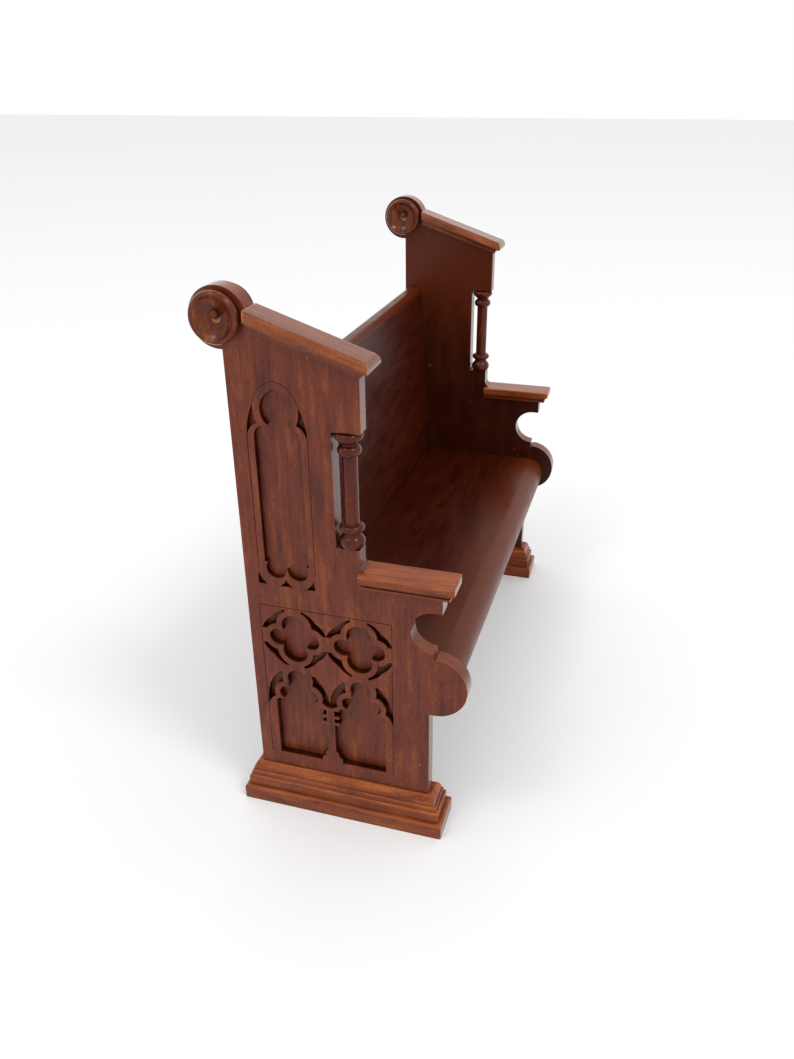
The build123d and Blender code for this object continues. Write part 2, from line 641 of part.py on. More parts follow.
def slope_cap_edge(core):
    """Moulded edge of the slope cap; heights are measured square to the slope."""
    fillet_edge = core + SLOPE_CAP_FILLET_OVERHANG
    lip = core + SLOPE_CAP_LIP_OVERHANG
    top = core + SLOPE_CAP_TOP_OVERHANG
    Line((fillet_edge, 0), (fillet_edge, SLOPE_CAP_FILLET_HEIGHT))
    ThreePointArc(
        (fillet_edge, SLOPE_CAP_FILLET_HEIGHT),
        (core + SLOPE_CAP_COVE_OVERHANG, SLOPE_CAP_COVE_HEIGHT),
        (lip, SLOPE_CAP_LIP_LOW),
    )
    Line((lip, SLOPE_CAP_LIP_LOW), (lip, SLOPE_CAP_LIP_HIGH))
    ThreePointArc(
        (lip, SLOPE_CAP_LIP_HIGH),
        (core + SLOPE_CAP_SWELL_OVERHANG, SLOPE_CAP_SWELL_HEIGHT),
        (top, SLOPE_CAP_HEIGHT),
    )
    return (fillet_edge, 0), (top, SLOPE_CAP_HEIGHT)


def one_sided(edge, core, back):
    """Outline with a square back and the moulding on its front."""
    with BuildSketch(mode=Mode.PRIVATE) as outline:
        with BuildLine():
            low, high = edge(core)
            Line((back, low[1]), low)
            Line(high, (back, high[1]))
            Line((back, high[1]), (back, low[1]))
        make_face()
    return outline.sketch


def two_sided(edge, core_width):
    """Outline with the moulding on both sides of a core of the given width."""
    half = one_sided(edge, core_width / 2, 0)
    return half + mirror(half, about=Plane.YZ)


# ================================================================ plinth
PLINTH_MIDDLE = (PLINTH_BACK + PLINTH_FRONT) / 2
CLEAR = 8.0

plinth_side_view = two_sided(plinth_edge, PLINTH_FRONT - PLINTH_BACK)
plinth_end_view = two_sided(plinth_edge, END_THICKNESS)
plinth_width = END_THICKNESS + 2 * PLINTH_TIER_OVERHANG
plinth_depth = PLINTH_FRONT - PLINTH_BACK + 2 * PLINTH_TIER_OVERHANG

with BuildPart() as plinth_along:
    with BuildSketch(side_plane(OUTER_X - CLEAR)):
        with Locations((PLINTH_MIDDLE, 0)):
            add(plinth_side_view)
    extrude(amount=-(END_THICKNESS + 2 * CLEAR))

with BuildPart() as plinth:
    with BuildSketch(front_plane(PLINTH_FRONT + CLEAR)):
        with Locations((END_THICKNESS / 2, 0)):
            add(plinth_end_view)
    extrude(amount=-(PLINTH_FRONT - PLINTH_BACK + 2 * CLEAR))
    add(plinth_along.part, mode=Mode.INTERSECT)
    with BuildSketch():
        with Locations((MIDDLE_X, BACK_EDGE_Y - PLINTH_MIDDLE)):
            RectangleRounded(plinth_width, plinth_depth, PLINTH_CORNER_RADIUS)
    extrude(amount=PANEL_FOOT, mode=Mode.INTERSECT)
    add(
        upright_rods(PLINTH_DOWEL_FORWARDS, PLINTH_DOWEL_LOW, PLINTH_DOWEL_HIGH, DOWEL_RADIUS),
        mode=Mode.SUBTRACT,
    )
save_pair("plinth", plinth.part)

# ================================================================ arm cap
arm_cap_end_view = two_sided(arm_cap_edge, END_THICKNESS)
arm_cap_width = END_THICKNESS + 2 * ARM_CAP_OVERHANG
arm_cap_nose = ARM_CAP_FRONT + ARM_CAP_OVERHANG

with BuildPart() as arm_cap_along:
    with BuildSketch(side_plane(OUTER_X - CLEAR)):
        add(one_sided(arm_cap_edge, ARM_CAP_FRONT, ARM_CAP_BACK))
    extrude(amount=-(END_THICKNESS + 2 * CLEAR))

with BuildPart() as arm_cap:
    with BuildSketch(front_plane(ARM_CAP_FRONT + CLEAR)):
        with Locations((END_THICKNESS / 2, 0)):
            add(arm_cap_end_view)
    extrude(amount=-(ARM_CAP_FRONT - ARM_CAP_BACK + CLEAR))
    add(arm_cap_along.part, mode=Mode.INTERSECT)
    with BuildSketch(Plane.XY.offset(ARM_UP)):
        with Locations((MIDDLE_X, BACK_EDGE_Y - (ARM_CAP_BACK + arm_cap_nose) / 2)):
            plan = Rectangle(arm_cap_width, arm_cap_nose - ARM_CAP_BACK)
        fillet(plan.vertices().sort_by(Axis.Y)[:2], ARM_CAP_CORNER_RADIUS)
    extrude(amount=ARM_CAP_HEIGHT, mode=Mode.INTERSECT)
    add(
        upright_rods(ARM_DOWEL_FORWARDS, ARM_DOWEL_LOW, ARM_DOWEL_HIGH, SMALL_DOWEL_RADIUS),
        mode=Mode.SUBTRACT,
    )
save_pair("arm_cap", arm_cap.part)

# ================================================================ slope cap
def slope_section_plane():
    """Plane square to the slope, below its front end: local x is +X, local y off the slope."""
    down = radians(SLOPE_ANGLE)
    foot = slope_plane(MIDDLE_X).from_local_coords((SLOPE_CAP_FRONT + CLEAR, 0, 0))
    return Plane(origin=foot, x_dir=(1, 0, 0), z_dir=(0, -cos(down), -sin(down)))


with BuildPart() as slope_cap_along:
    with BuildSketch(slope_plane(OUTER_X - CLEAR)):
        add(one_sided(slope_cap_edge, SLOPE_CAP_FRONT, -SLOPE_CAP_LENGTH))
    extrude(amount=-(END_THICKNESS + 2 * CLEAR))

with BuildPart() as slope_cap:
    with BuildSketch(slope_section_plane()):
        add(two_sided(slope_cap_edge, END_THICKNESS))
    extrude(amount=-(SLOPE_CAP_LENGTH + CLEAR))
    add(slope_cap_along.part, mode=Mode.INTERSECT)
    with BuildSketch(side_plane(OUTER_X - CLEAR)):
        disc(BOSS_FORWARD, BOSS_UP, BOSS_RADIUS)
        block(-SLOPE_CAP_LENGTH, PANEL_FOOT, BOSS_FORWARD, BOSS_UP + 2 * BOSS_RADIUS)
    extrude(amount=-(END_THICKNESS + 2 * CLEAR), mode=Mode.SUBTRACT)
    add(slope_rods(), mode=Mode.SUBTRACT)
save_pair("slope_cap", slope_cap.part)


# ================================================================ colonnette
def column_profile():
    """Half outline of the turned colonnette: radius across, height up."""
    tenon_low = SHOULDER_UP - COLUMN_TENON_LENGTH
    tenon_high = HEAD_UP + COLUMN_TENON_LENGTH
    with BuildSketch(Plane.XZ, mode=Mode.PRIVATE) as profile:
        with BuildLine():
            Line((0, tenon_high), (0, tenon_low))
            Line((0, tenon_low), (COLUMN_TENON_RADIUS, tenon_low))
            last = (COLUMN_TENON_RADIUS, SHOULDER_UP)
            Line((COLUMN_TENON_RADIUS, tenon_low), last)
            for low, high, neck, swell in COLUMN_BEADS:
                Line(last, (neck, low))
                ThreePointArc((neck, low), (swell, (low + high) / 2), (neck, high))
                last = (neck, high)
            Line(last, (COLUMN_TENON_RADIUS, HEAD_UP))
            Line((COLUMN_TENON_RADIUS, HEAD_UP), (COLUMN_TENON_RADIUS, tenon_high))
            Line((COLUMN_TENON_RADIUS, tenon_high), (0, tenon_high))
        make_face()
    return profile.sketch


with BuildPart() as colonnette:
    add(column_profile())
    revolve(axis=Axis.Z)
column_place = Location((MIDDLE_X, BACK_EDGE_Y - COLUMN_FORWARD, 0))
save_pair("colonnette", column_place * colonnette.part)


# ================================================================ rosettes
def rosette_profile():
    """Half outline of the turned ring and dish: radius across, thickness up from its back."""
    neck = (ROSETTE_NECK_RADIUS, ROSETTE_NECK_HEIGHT)
    crest = (ROSETTE_CREST_RADIUS, ROSETTE_DEPTH)
    lip = (ROSETTE_LIP_RADIUS, ROSETTE_LIP_HEIGHT)
    floor = (ROSETTE_FLAT_RADIUS, ROSETTE_DISH_FLOOR)
    with BuildSketch(Plane.XZ, mode=Mode.PRIVATE) as profile:
        with BuildLine():
            Line((0, 0), (ROSETTE_NECK_RADIUS, 0))
            Line((ROSETTE_NECK_RADIUS, 0), neck)
            ThreePointArc(neck, (ROSETTE_RING_RADIUS, ROSETTE_RING_MIDDLE), crest)
            Line(crest, lip)
            ThreePointArc(lip, (ROSETTE_DISH_RADIUS, ROSETTE_DISH_HEIGHT), floor)
            Line(floor, (0, ROSETTE_DISH_FLOOR))
            Line((0, ROSETTE_DISH_FLOOR), (0, 0))
        make_face()
    return profile.sketch


def button_profile():
    """Half outline of the little domed button standing in the dish."""
    with BuildSketch(Plane.XZ, mode=Mode.PRIVATE) as profile:
        with BuildLine():
            Line((0, 0), (BUTTON_RADIUS, 0))
            Line((BUTTON_RADIUS, 0), (BUTTON_RADIUS, BUTTON_SHOULDER))
            ThreePointArc(
                (BUTTON_RADIUS, BUTTON_SHOULDER),
                (BUTTON_CROWN_RADIUS, BUTTON_CROWN_HEIGHT),
                (BUTTON_FLAT_RADIUS, BUTTON_HEIGHT),
            )
            Line((BUTTON_FLAT_RADIUS, BUTTON_HEIGHT), (0, BUTTON_HEIGHT))
            Line((0, BUTTON_HEIGHT), (0, 0))
        make_face()
    return profile.sketch


with BuildPart() as button:
    add(button_profile())
    revolve(axis=Axis.Z)

with BuildPart() as rosette_blank:
    add(rosette_profile())
    revolve(axis=Axis.Z)
    with Locations((0, BUTTON_LIFT, 0)):
        add(button.part)

BOSS_Y = BACK_EDGE_Y - BOSS_FORWARD
ROSETTE_UP = BOSS_UP + ROSETTE_LIFT
outer_place = Plane(origin=(OUTER_X, BOSS_Y, ROSETTE_UP), x_dir=(0, -1, 0), z_dir=(-1, 0, 0))
inner_place = Plane(origin=(INNER_X, BOSS_Y, ROSETTE_UP), x_dir=(0, 1, 0), z_dir=(1, 0, 0))
save_pair("outer_rosette", outer_place.location * rosette_blank.part - rosette_rod())
save_pair("inner_rosette", inner_place.location * rosette_blank.part - rosette_rod())


# ================================================================ seat and back
def full_length(outline, start_x):
    """Board with the given side view running between matching ends of the pew."""
    with BuildPart(mode=Mode.PRIVATE) as board:
        with BuildSketch(side_plane(start_x)):
            add(outline)
        extrude(amount=2 * start_x)
    return board.part


def rail_outline(back, low, front, high):
    """Rectangular rail, trimmed to the leaning front face of the back."""
    with BuildSketch(mode=Mode.PRIVATE) as rail:
        block(back, low, front, high)
        add(back_outline(), mode=Mode.SUBTRACT)
    return rail.sketch


SEAT_UNDERSIDE = SEAT_UP - SEAT_THICKNESS
save("seat_board", full_length(seat_outline(), INNER_X - HOUSING_DEPTH))
save("back_board", full_length(back_outline(), INNER_X - HOUSING_DEPTH))
front_rail = rail_outline(
    FRONT_RAIL_FORWARD,
    SEAT_UNDERSIDE - FRONT_RAIL_HEIGHT,
    FRONT_RAIL_FORWARD + RAIL_THICKNESS,
    SEAT_UNDERSIDE,
)
save("seat_front_rail", full_length(front_rail, INNER_X))
rear_rail = rail_outline(
    BACK_SEAT_FORWARD - BOARD_TONGUE,
    SEAT_UNDERSIDE - REAR_RAIL_HEIGHT,
    BACK_SEAT_FORWARD + RAIL_THICKNESS,
    SEAT_UNDERSIDE,
)
save("seat_rear_rail", full_length(rear_rail, INNER_X))


# ================================================================ seat bearers and their pins
def bearer_pins():
    """Small headed pins driven through the left bearer into the pew end."""
    pin_up = SEAT_UNDERSIDE - BEARER_SIDE / 2
    stations = (BEARER_START + PIN_END_DISTANCE, BEARER_END - PIN_END_DISTANCE)
    with BuildPart(mode=Mode.PRIVATE) as pins:
        with BuildSketch(side_plane(INNER_X - PIN_INTO_PANEL)):
            for forward in stations:
                disc(forward, pin_up, PIN_RADIUS)
        extrude(amount=-(PIN_INTO_PANEL + BEARER_SIDE))
        with BuildSketch(side_plane(INNER_X + BEARER_SIDE - PIN_HEAD_HEIGHT)):
            for forward in stations:
                disc(forward, pin_up, PIN_HEAD_RADIUS)
        extrude(amount=-PIN_HEAD_HEIGHT)
    return pins.part


with BuildPart() as bearer:
    with BuildSketch(side_plane(INNER_X)):
        block(BEARER_START, SEAT_UNDERSIDE - BEARER_SIDE, BEARER_END, SEAT_UNDERSIDE)
    extrude(amount=-BEARER_SIDE)
    add(bearer_pins(), mode=Mode.SUBTRACT)
save_pair("seat_bearer", bearer.part)


# ================================================================ dowels and pins
def both_ends(shape):
    """The same loose pieces at both ends of the pew, kept as separate solids."""
    return Compound(children=[*shape.solids(), *mirrored(shape).solids()])


arm_dowels = upright_rods(ARM_DOWEL_FORWARDS, ARM_DOWEL_LOW, ARM_DOWEL_HIGH, SMALL_DOWEL_RADIUS)
plinth_dowels = upright_rods(
    PLINTH_DOWEL_FORWARDS, PLINTH_DOWEL_LOW, PLINTH_DOWEL_HIGH, DOWEL_RADIUS
)
save("arm_cap_dowels", both_ends(arm_dowels))
save("plinth_dowels", both_ends(plinth_dowels))
save("slope_cap_dowels", both_ends(slope_rods()))
save("rosette_dowels", both_ends(rosette_rod()))
save("seat_bearer_pins", both_ends(bearer_pins()))

# ================================================================ end panel
def around(value):
    """Narrow band that picks out the edges lying at one place."""
    return value - 0.01, value + 0.01


def front_arrises(blank):
    """Long upright edges on the front of the head and of the foot of the pew end."""
    uprights = blank.edges().filter_by(Axis.Z)
    head = uprights.filter_by_position(Axis.Y, *around(BACK_EDGE_Y - HEAD_FORWARD))
    foot = uprights.filter_by_position(Axis.Y, *around(BACK_EDGE_Y - PANEL_DEPTH))
    return head + foot


with BuildPart() as end_panel:
    with BuildSketch(side_plane(OUTER_X)):
        add(panel_outline())
    extrude(amount=-END_THICKNESS)
    fillet(front_arrises(end_panel), FRONT_ARRIS)
    with BuildSketch(side_plane(OUTER_X)):
        add(lower_carving())
    extrude(amount=-LOWER_CARVING_DEPTH, mode=Mode.SUBTRACT)
    with BuildSketch(side_plane(OUTER_X)):
        add(tall_carving())
        add(tall_spandrels())
    extrude(amount=-TALL_CARVING_DEPTH, mode=Mode.SUBTRACT)
    with BuildSketch(side_plane(OUTER_X)):
        add(tall_scribe())
        add(lower_frame_scribe())
    extrude(amount=-SCRIBE_DEPTH, mode=Mode.SUBTRACT)
    with BuildSketch(side_plane(INNER_X)):
        add(seat_outline())
        add(back_outline())
    extrude(amount=HOUSING_DEPTH, mode=Mode.SUBTRACT)
    add(arm_dowels, mode=Mode.SUBTRACT)
    add(plinth_dowels, mode=Mode.SUBTRACT)
    add(slope_rods(), mode=Mode.SUBTRACT)
    add(rosette_rod(), mode=Mode.SUBTRACT)
    add(column_rod(), mode=Mode.SUBTRACT)
    add(bearer_pins(), mode=Mode.SUBTRACT)
save_pair("end_panel", end_panel.part)
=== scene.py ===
"""Looks of the carved miniature church pew: stained wood, soft studio light and camera.

Every CAD node is shown as it is.  Modifiers soften its arrises, and a procedural wood
material gives it grain, stain, worn edges and varnish.  The materials measure in
millimetres, because the pew is a miniature only twelve centimetres long.
"""

from math import cos, radians, sin

import bpy
from mathutils import Euler, Matrix, Vector

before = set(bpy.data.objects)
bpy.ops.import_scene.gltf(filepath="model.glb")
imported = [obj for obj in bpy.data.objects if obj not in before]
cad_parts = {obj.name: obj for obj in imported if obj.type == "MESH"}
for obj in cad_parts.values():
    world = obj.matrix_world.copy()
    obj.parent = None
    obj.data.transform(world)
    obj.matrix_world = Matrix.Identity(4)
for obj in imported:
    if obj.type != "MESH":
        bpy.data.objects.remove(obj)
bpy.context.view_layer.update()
scene = bpy.context.scene
MM = 0.001

# ---------------------------------------------------------------- finishes of the wood
# dark, middle, light: stain, from the darkest streaks to the lightest
# mottle: share of cloudy patches in the tone; the rest is streaks along the grain
# worn_and_highlit: colour of arrises, partly rubbed wood and partly painted highlight, and
# arris_wear_and_highlight: how far they reach it
# side: how far faces that don't look up take the darker painted side shade
# hollow: how far deep hollows darken with painted shade
# edge_highlight: lighter, browner painted highlight on the rolled front of the seat and the top
# edge of the back
# carved: the sunk tracery and plain inner face of a pew end, with their painted light and shade
# sheen: varnish gloss on surfaces seen edge-on
PLAIN = {"side": 0.0, "hollow": 0.0, "edge_highlight": False, "carved": False}
PANEL = {
    **PLAIN,
    "dark": (0.064, 0.0082, 0.0028),
    "middle": (0.120, 0.0190, 0.0050),
    "light": (0.192, 0.042, 0.0085),
    "mottle": 0.58,
    "worn_and_highlit": (0.260, 0.075, 0.022),
    "arris_wear_and_highlight": 0.35,
    "carved": True,
    "roughness": 0.42,
    "specular": 0.28,
    "sheen": 0.85,
}
MOULDING = {
    **PLAIN,
    "dark": (0.125, 0.018, 0.0035),
    "middle": (0.240, 0.050, 0.0080),
    "light": (0.370, 0.100, 0.0160),
    "mottle": 0.50,
    "worn_and_highlit": (0.450, 0.160, 0.030),
    "arris_wear_and_highlight": 0.8,
    "side": 0.38,
    "hollow": 0.15,
    "roughness": 0.32,
    "specular": 0.28,
    "sheen": 0.60,
}
SLOPE_MOULDING = {
    **MOULDING,
    "dark": (0.100, 0.015, 0.0035),
    "middle": (0.180, 0.039, 0.0080),
    "light": (0.280, 0.078, 0.0150),
}
TURNED = {
    **PLAIN,
    "dark": (0.052, 0.0065, 0.0018),
    "middle": (0.105, 0.0165, 0.0030),
    "light": (0.220, 0.0520, 0.0060),
    "mottle": 0.6,
    "worn_and_highlit": (0.450, 0.170, 0.030),
    "arris_wear_and_highlight": 0.8,
    "hollow": 0.6,
    "roughness": 0.20,
    "specular": 0.24,
    "sheen": 0.60,
}
COLONNETTE = {
    **TURNED,
    "dark": (0.044, 0.0045, 0.0020),
    "middle": (0.070, 0.0085, 0.0035),
    "light": (0.110, 0.0190, 0.0050),
    "specular": 0.20,
}
BOARD = {
    **PLAIN,
    "dark": (0.027, 0.0024, 0.0006),
    "middle": (0.042, 0.0046, 0.0009),
    "light": (0.060, 0.0078, 0.0014),
    "mottle": 0.45,
    "worn_and_highlit": (0.120, 0.026, 0.008),
    "arris_wear_and_highlight": 0.3,
    "edge_highlight": True,
    "roughness": 0.34,
    "specular": 0.16,
    "sheen": 0.10,
}
FRAME_TIMBER = {
    **PLAIN,
    "dark": (0.045, 0.0080, 0.0035),
    "middle": (0.085, 0.018, 0.0075),
    "light": (0.130, 0.034, 0.013),
    "mottle": 0.5,
    "worn_and_highlit": (0.160, 0.050, 0.020),
    "arris_wear_and_highlight": 0.25,
    "roughness": 0.55,
    "specular": 0.20,
    "sheen": 0.10,
}
DOWEL = {
    **PLAIN,
    "dark": (0.330, 0.200, 0.100),
    "middle": (0.480, 0.320, 0.180),
    "light": (0.600, 0.430, 0.260),
    "mottle": 0.4,
    "worn_and_highlit": (0.650, 0.480, 0.300),
    "arris_wear_and_highlight": 0.2,
    "roughness": 0.6,
    "specular": 0.20,
    "sheen": 0.05,
}

# Painted shade on the faces that don't look up.
SIDE_SHADE_COLOUR = (0.060, 0.0075, 0.0020)
# Painted shade in deep hollows.
HOLLOW_SHADE_COLOUR = (0.022, 0.0030, 0.0010)
# Painted highlight on the seat's rolled front and the back's top edge.
EDGE_HIGHLIGHT_COLOUR = (0.105, 0.0190, 0.0030)
# Painted shade on the inner faces of the pew ends, from the shaded low colour to the lit high
# one.
INNER_SHADED_COLOUR = (0.030, 0.0034, 0.0004)
INNER_LIT_COLOUR = (0.075, 0.0110, 0.0012)
# Painted shade on the walls of the sunk carving.
WALL_SHADE_COLOUR = (0.011, 0.0016, 0.0007)
# Painted shade in the crevices.
CREVICE_SHADE_COLOUR = (0.010, 0.0020, 0.0010)
DUST_COLOUR = (0.42, 0.27, 0.19)
BRASS_COLOUR = (0.62, 0.44, 0.17)
TARNISH_COLOUR = (0.25, 0.16, 0.07)

# ---------------------------------------------------------------- wooden pieces
# Run of the grain: the axis whose stretch is small is the way the fibres lie.
GRAIN_UP = (1.0, 1.0, 0.07)
GRAIN_FORWARD = (1.0, 0.07, 1.0)
GRAIN_ACROSS = (0.07, 1.0, 1.0)
SLOPE_ANGLE = 18.5

# Finish, run of the grain, and the angle that the grain is tipped by, about X.
PIECES = {
    "left_end_panel": (PANEL, GRAIN_UP, 0),
    "right_end_panel": (PANEL, GRAIN_UP, 0),
    "left_plinth": (MOULDING, GRAIN_FORWARD, 0),
    "right_plinth": (MOULDING, GRAIN_FORWARD, 0),
    "left_arm_cap": (MOULDING, GRAIN_FORWARD, 0),
    "right_arm_cap": (MOULDING, GRAIN_FORWARD, 0),
    "left_slope_cap": (SLOPE_MOULDING, GRAIN_FORWARD, -SLOPE_ANGLE),
    "right_slope_cap": (SLOPE_MOULDING, GRAIN_FORWARD, -SLOPE_ANGLE),
    "left_colonnette": (COLONNETTE, GRAIN_UP, 0),
    "right_colonnette": (COLONNETTE, GRAIN_UP, 0),
    "left_outer_rosette": (TURNED, GRAIN_UP, 0),
    "right_outer_rosette": (TURNED, GRAIN_UP, 0),
    "left_inner_rosette": (TURNED, GRAIN_UP, 0),
    "right_inner_rosette": (TURNED, GRAIN_UP, 0),
    "seat_board": (BOARD, GRAIN_ACROSS, 0),
    "back_board": (BOARD, GRAIN_ACROSS, 0),
    "seat_front_rail": (FRAME_TIMBER, GRAIN_ACROSS, 0),
    "seat_rear_rail": (FRAME_TIMBER, GRAIN_ACROSS, 0),
    "left_seat_bearer": (FRAME_TIMBER, GRAIN_FORWARD, 0),
    "right_seat_bearer": (FRAME_TIMBER, GRAIN_FORWARD, 0),
    "arm_cap_dowels": (DOWEL, GRAIN_UP, 0),
    "plinth_dowels": (DOWEL, GRAIN_UP, 0),
    "slope_cap_dowels": (DOWEL, GRAIN_UP, 0),
    "rosette_dowels": (DOWEL, GRAIN_ACROSS, 0),
}
# Shift of the pattern from one piece to the next, so that no two pieces match.
PATTERN_STEP = (17.3, 31.7, 23.9)

# Width of the rounded arrises, by the last word of a piece's name; other pieces stay sharp.
ARRIS_WIDTH = {
    "panel": 0.12,
    "plinth": 0.10,
    "cap": 0.12,
    "board": 0.18,
    "rail": 0.15,
    "bearer": 0.15,
}
ARRIS_SEGMENTS = 2
# Edges sharper than ARRIS_ANGLE are rounded; facets within FLAT_ANGLE are merged (degrees).
ARRIS_ANGLE = 35
FLAT_ANGLE = 0.2
WELD_DISTANCE = 0.0005
NORMAL_WEIGHT = 80

# ---------------------------------------------------------------- patterns in the wood
# Noise patterns, with the scale in features per millimetre.
STREAKS = {"scale": 0.85, "detail": 4.0, "roughness": 0.6, "distortion": 0.2}
MOTTLE = {"scale": 0.30, "detail": 4.0, "roughness": 0.6, "distortion": 0.6}
FIBRES = {"scale": 4.5, "detail": 3.0, "roughness": 0.55}
FLECKS = {"scale": 2.2, "detail": 3.0}
ARRIS_PATCHES = {"scale": 0.7, "detail": 3.0}
DUST = {"scale": 1.15, "detail": 1.0, "roughness": 0.3}
RIPPLES = {"scale": 0.5, "detail": 2.0}
TARNISH = {"scale": 1.8, "detail": 3.0}

# The mottle is drawn out along the grain less than the streaks are.
MOTTLE_STRETCH_LEAST, MOTTLE_STRETCH_SHARE = 0.25, 0.75
FLECK_STRETCH = (0.9, 0.9, 0.5)

# Tones at which one stain colour starts and ends its change to the next, and how much
# fibres and flecks move the tone.
DARK_TO_MIDDLE = (0.33, 0.51)
MIDDLE_TO_LIGHT = (0.49, 0.67)
FIBRE_TONE, FLECK_TONE = 0.16, 0.22

# Shares of the patterns in the relief, and the relief's height and strength.
FIBRE_BUMP, RIPPLE_BUMP, FLECK_BUMP = 0.35, 1.3, 0.5
BUMP_HEIGHT, BUMP_STRENGTH = 0.06, 0.4

# ---------------------------------------------------------------- where the wear, dust, painted shade and painted highlights lie
# Reach in millimetres, and the shares of open air (or of wood behind the face) that give
# the full effect and none of it.
CREVICE_REACH, CREVICE_FULL, CREVICE_NONE = 0.7, 0.20, 0.80
HOLLOW_REACH, HOLLOW_FULL, HOLLOW_NONE = 2.5, 0.30, 0.85
ARRIS_REACH, ARRIS_FULL, ARRIS_NONE = 0.35, 0.45, 0.80
OPEN_AIR_SAMPLES = 8
# A face looks up fully once the upward part of its normal passes LEVEL_NORMAL.
LEVEL_NORMAL = 0.42
# Pattern values between which the effect comes in, and its strength.
PATCH_NONE, PATCH_FULL = 0.34, 0.58
DUST_NONE, DUST_FULL, DUST_STRENGTH = 0.795, 0.83, 0.25
# Strength of the painted crevice shade, and the roughness added in the crevices.
CREVICE_SHADE, CREVICE_ROUGHNESS = 0.85, 0.3

# The painted highlight on the seat's roll fades from ROLL_FRONT back to ROLL_BACK, along Y.  The
# painted highlight on the back's top edge comes in between the two heights.
ROLL_FRONT, ROLL_BACK, ROLL_STRENGTH = -20.0, -9.0, 0.9
TOP_EDGE_LOW, TOP_EDGE_HIGH, TOP_EDGE_STRENGTH = 86.5, 88.6, 0.8

# ---------------------------------------------------------------- carved pew ends
# Distances of the outer and inner faces from the middle of the pew.
OUTER_FACE = 57.95
INNER_FACE = 54.6
# Middle and half size of each carved area, along Y and then along Z.
CARVED_AREAS = (
    (3.3, 14.6, 30.9, 20.2),
    (10.75, 6.6, 76.3, 21.9),
)
# A wall takes its full painted shade SUNK_FULL below the outer face and none SUNK_NONE below it.
SUNK_FULL, SUNK_NONE = 0.40, 0.15
# A face is a wall while the sideways part of its normal stays under WALL_NORMAL.
WALL_NORMAL = 0.35
# Painted shade on the walls at the lowest and the highest of these mottle values.
WALL_MOTTLE, WALL_SHADE = (0.2, 0.8), (0.98, 0.80)
# Faces that look up get painted light: upward parts of the normal that give none and all of it,
# then its strength at a low and at a high place.
TOP_LIGHT_NORMAL_NONE, TOP_LIGHT_NORMAL_FULL = 0.45, 0.95
TOP_LIGHT_HEIGHTS, TOP_LIGHT_STRENGTHS = (60.0, 100.0), (0.25, 0.65)
# Inner face, painted shade: light added to the mottle at a low and at a high place, and the sums
# that give the shaded colour and the lit colour.
INNER_HEIGHTS, INNER_LIGHTS = (55.0, 105.0), (-0.15, 0.6)
INNER_LOW_TO_HIGH = (0.2, 1.0)
INNER_DULLNESS = 0.5

# ---------------------------------------------------------------- varnish and brass
# Over these mottle values the roughness goes from below to above the finish's own.
ROUGHNESS_MOTTLE = (0.3, 0.7)
ROUGHNESS_BELOW, ROUGHNESS_ABOVE = 0.05, 0.08
VARNISH_IOR = 1.5
DULL_SPECULAR = 0.03
# The coat grows from its face-on weight to the finish's sheen between these two values,
# where 0 is a surface seen face-on and 1 is one seen edge-on.
FACING_BLEND = 0.5
EDGE_ON = (0.50, 0.80)
FACE_ON_COAT = 0.06
COAT_ROUGHNESS = 0.14
# Tarnish values over which the brass changes colour, and over which it turns rougher.
TARNISH_COLOUR_SPAN = (0.4, 0.65)
TARNISH_ROUGHNESS_SPAN, BRASS_ROUGHNESS = (0.3, 0.7), (0.28, 0.5)


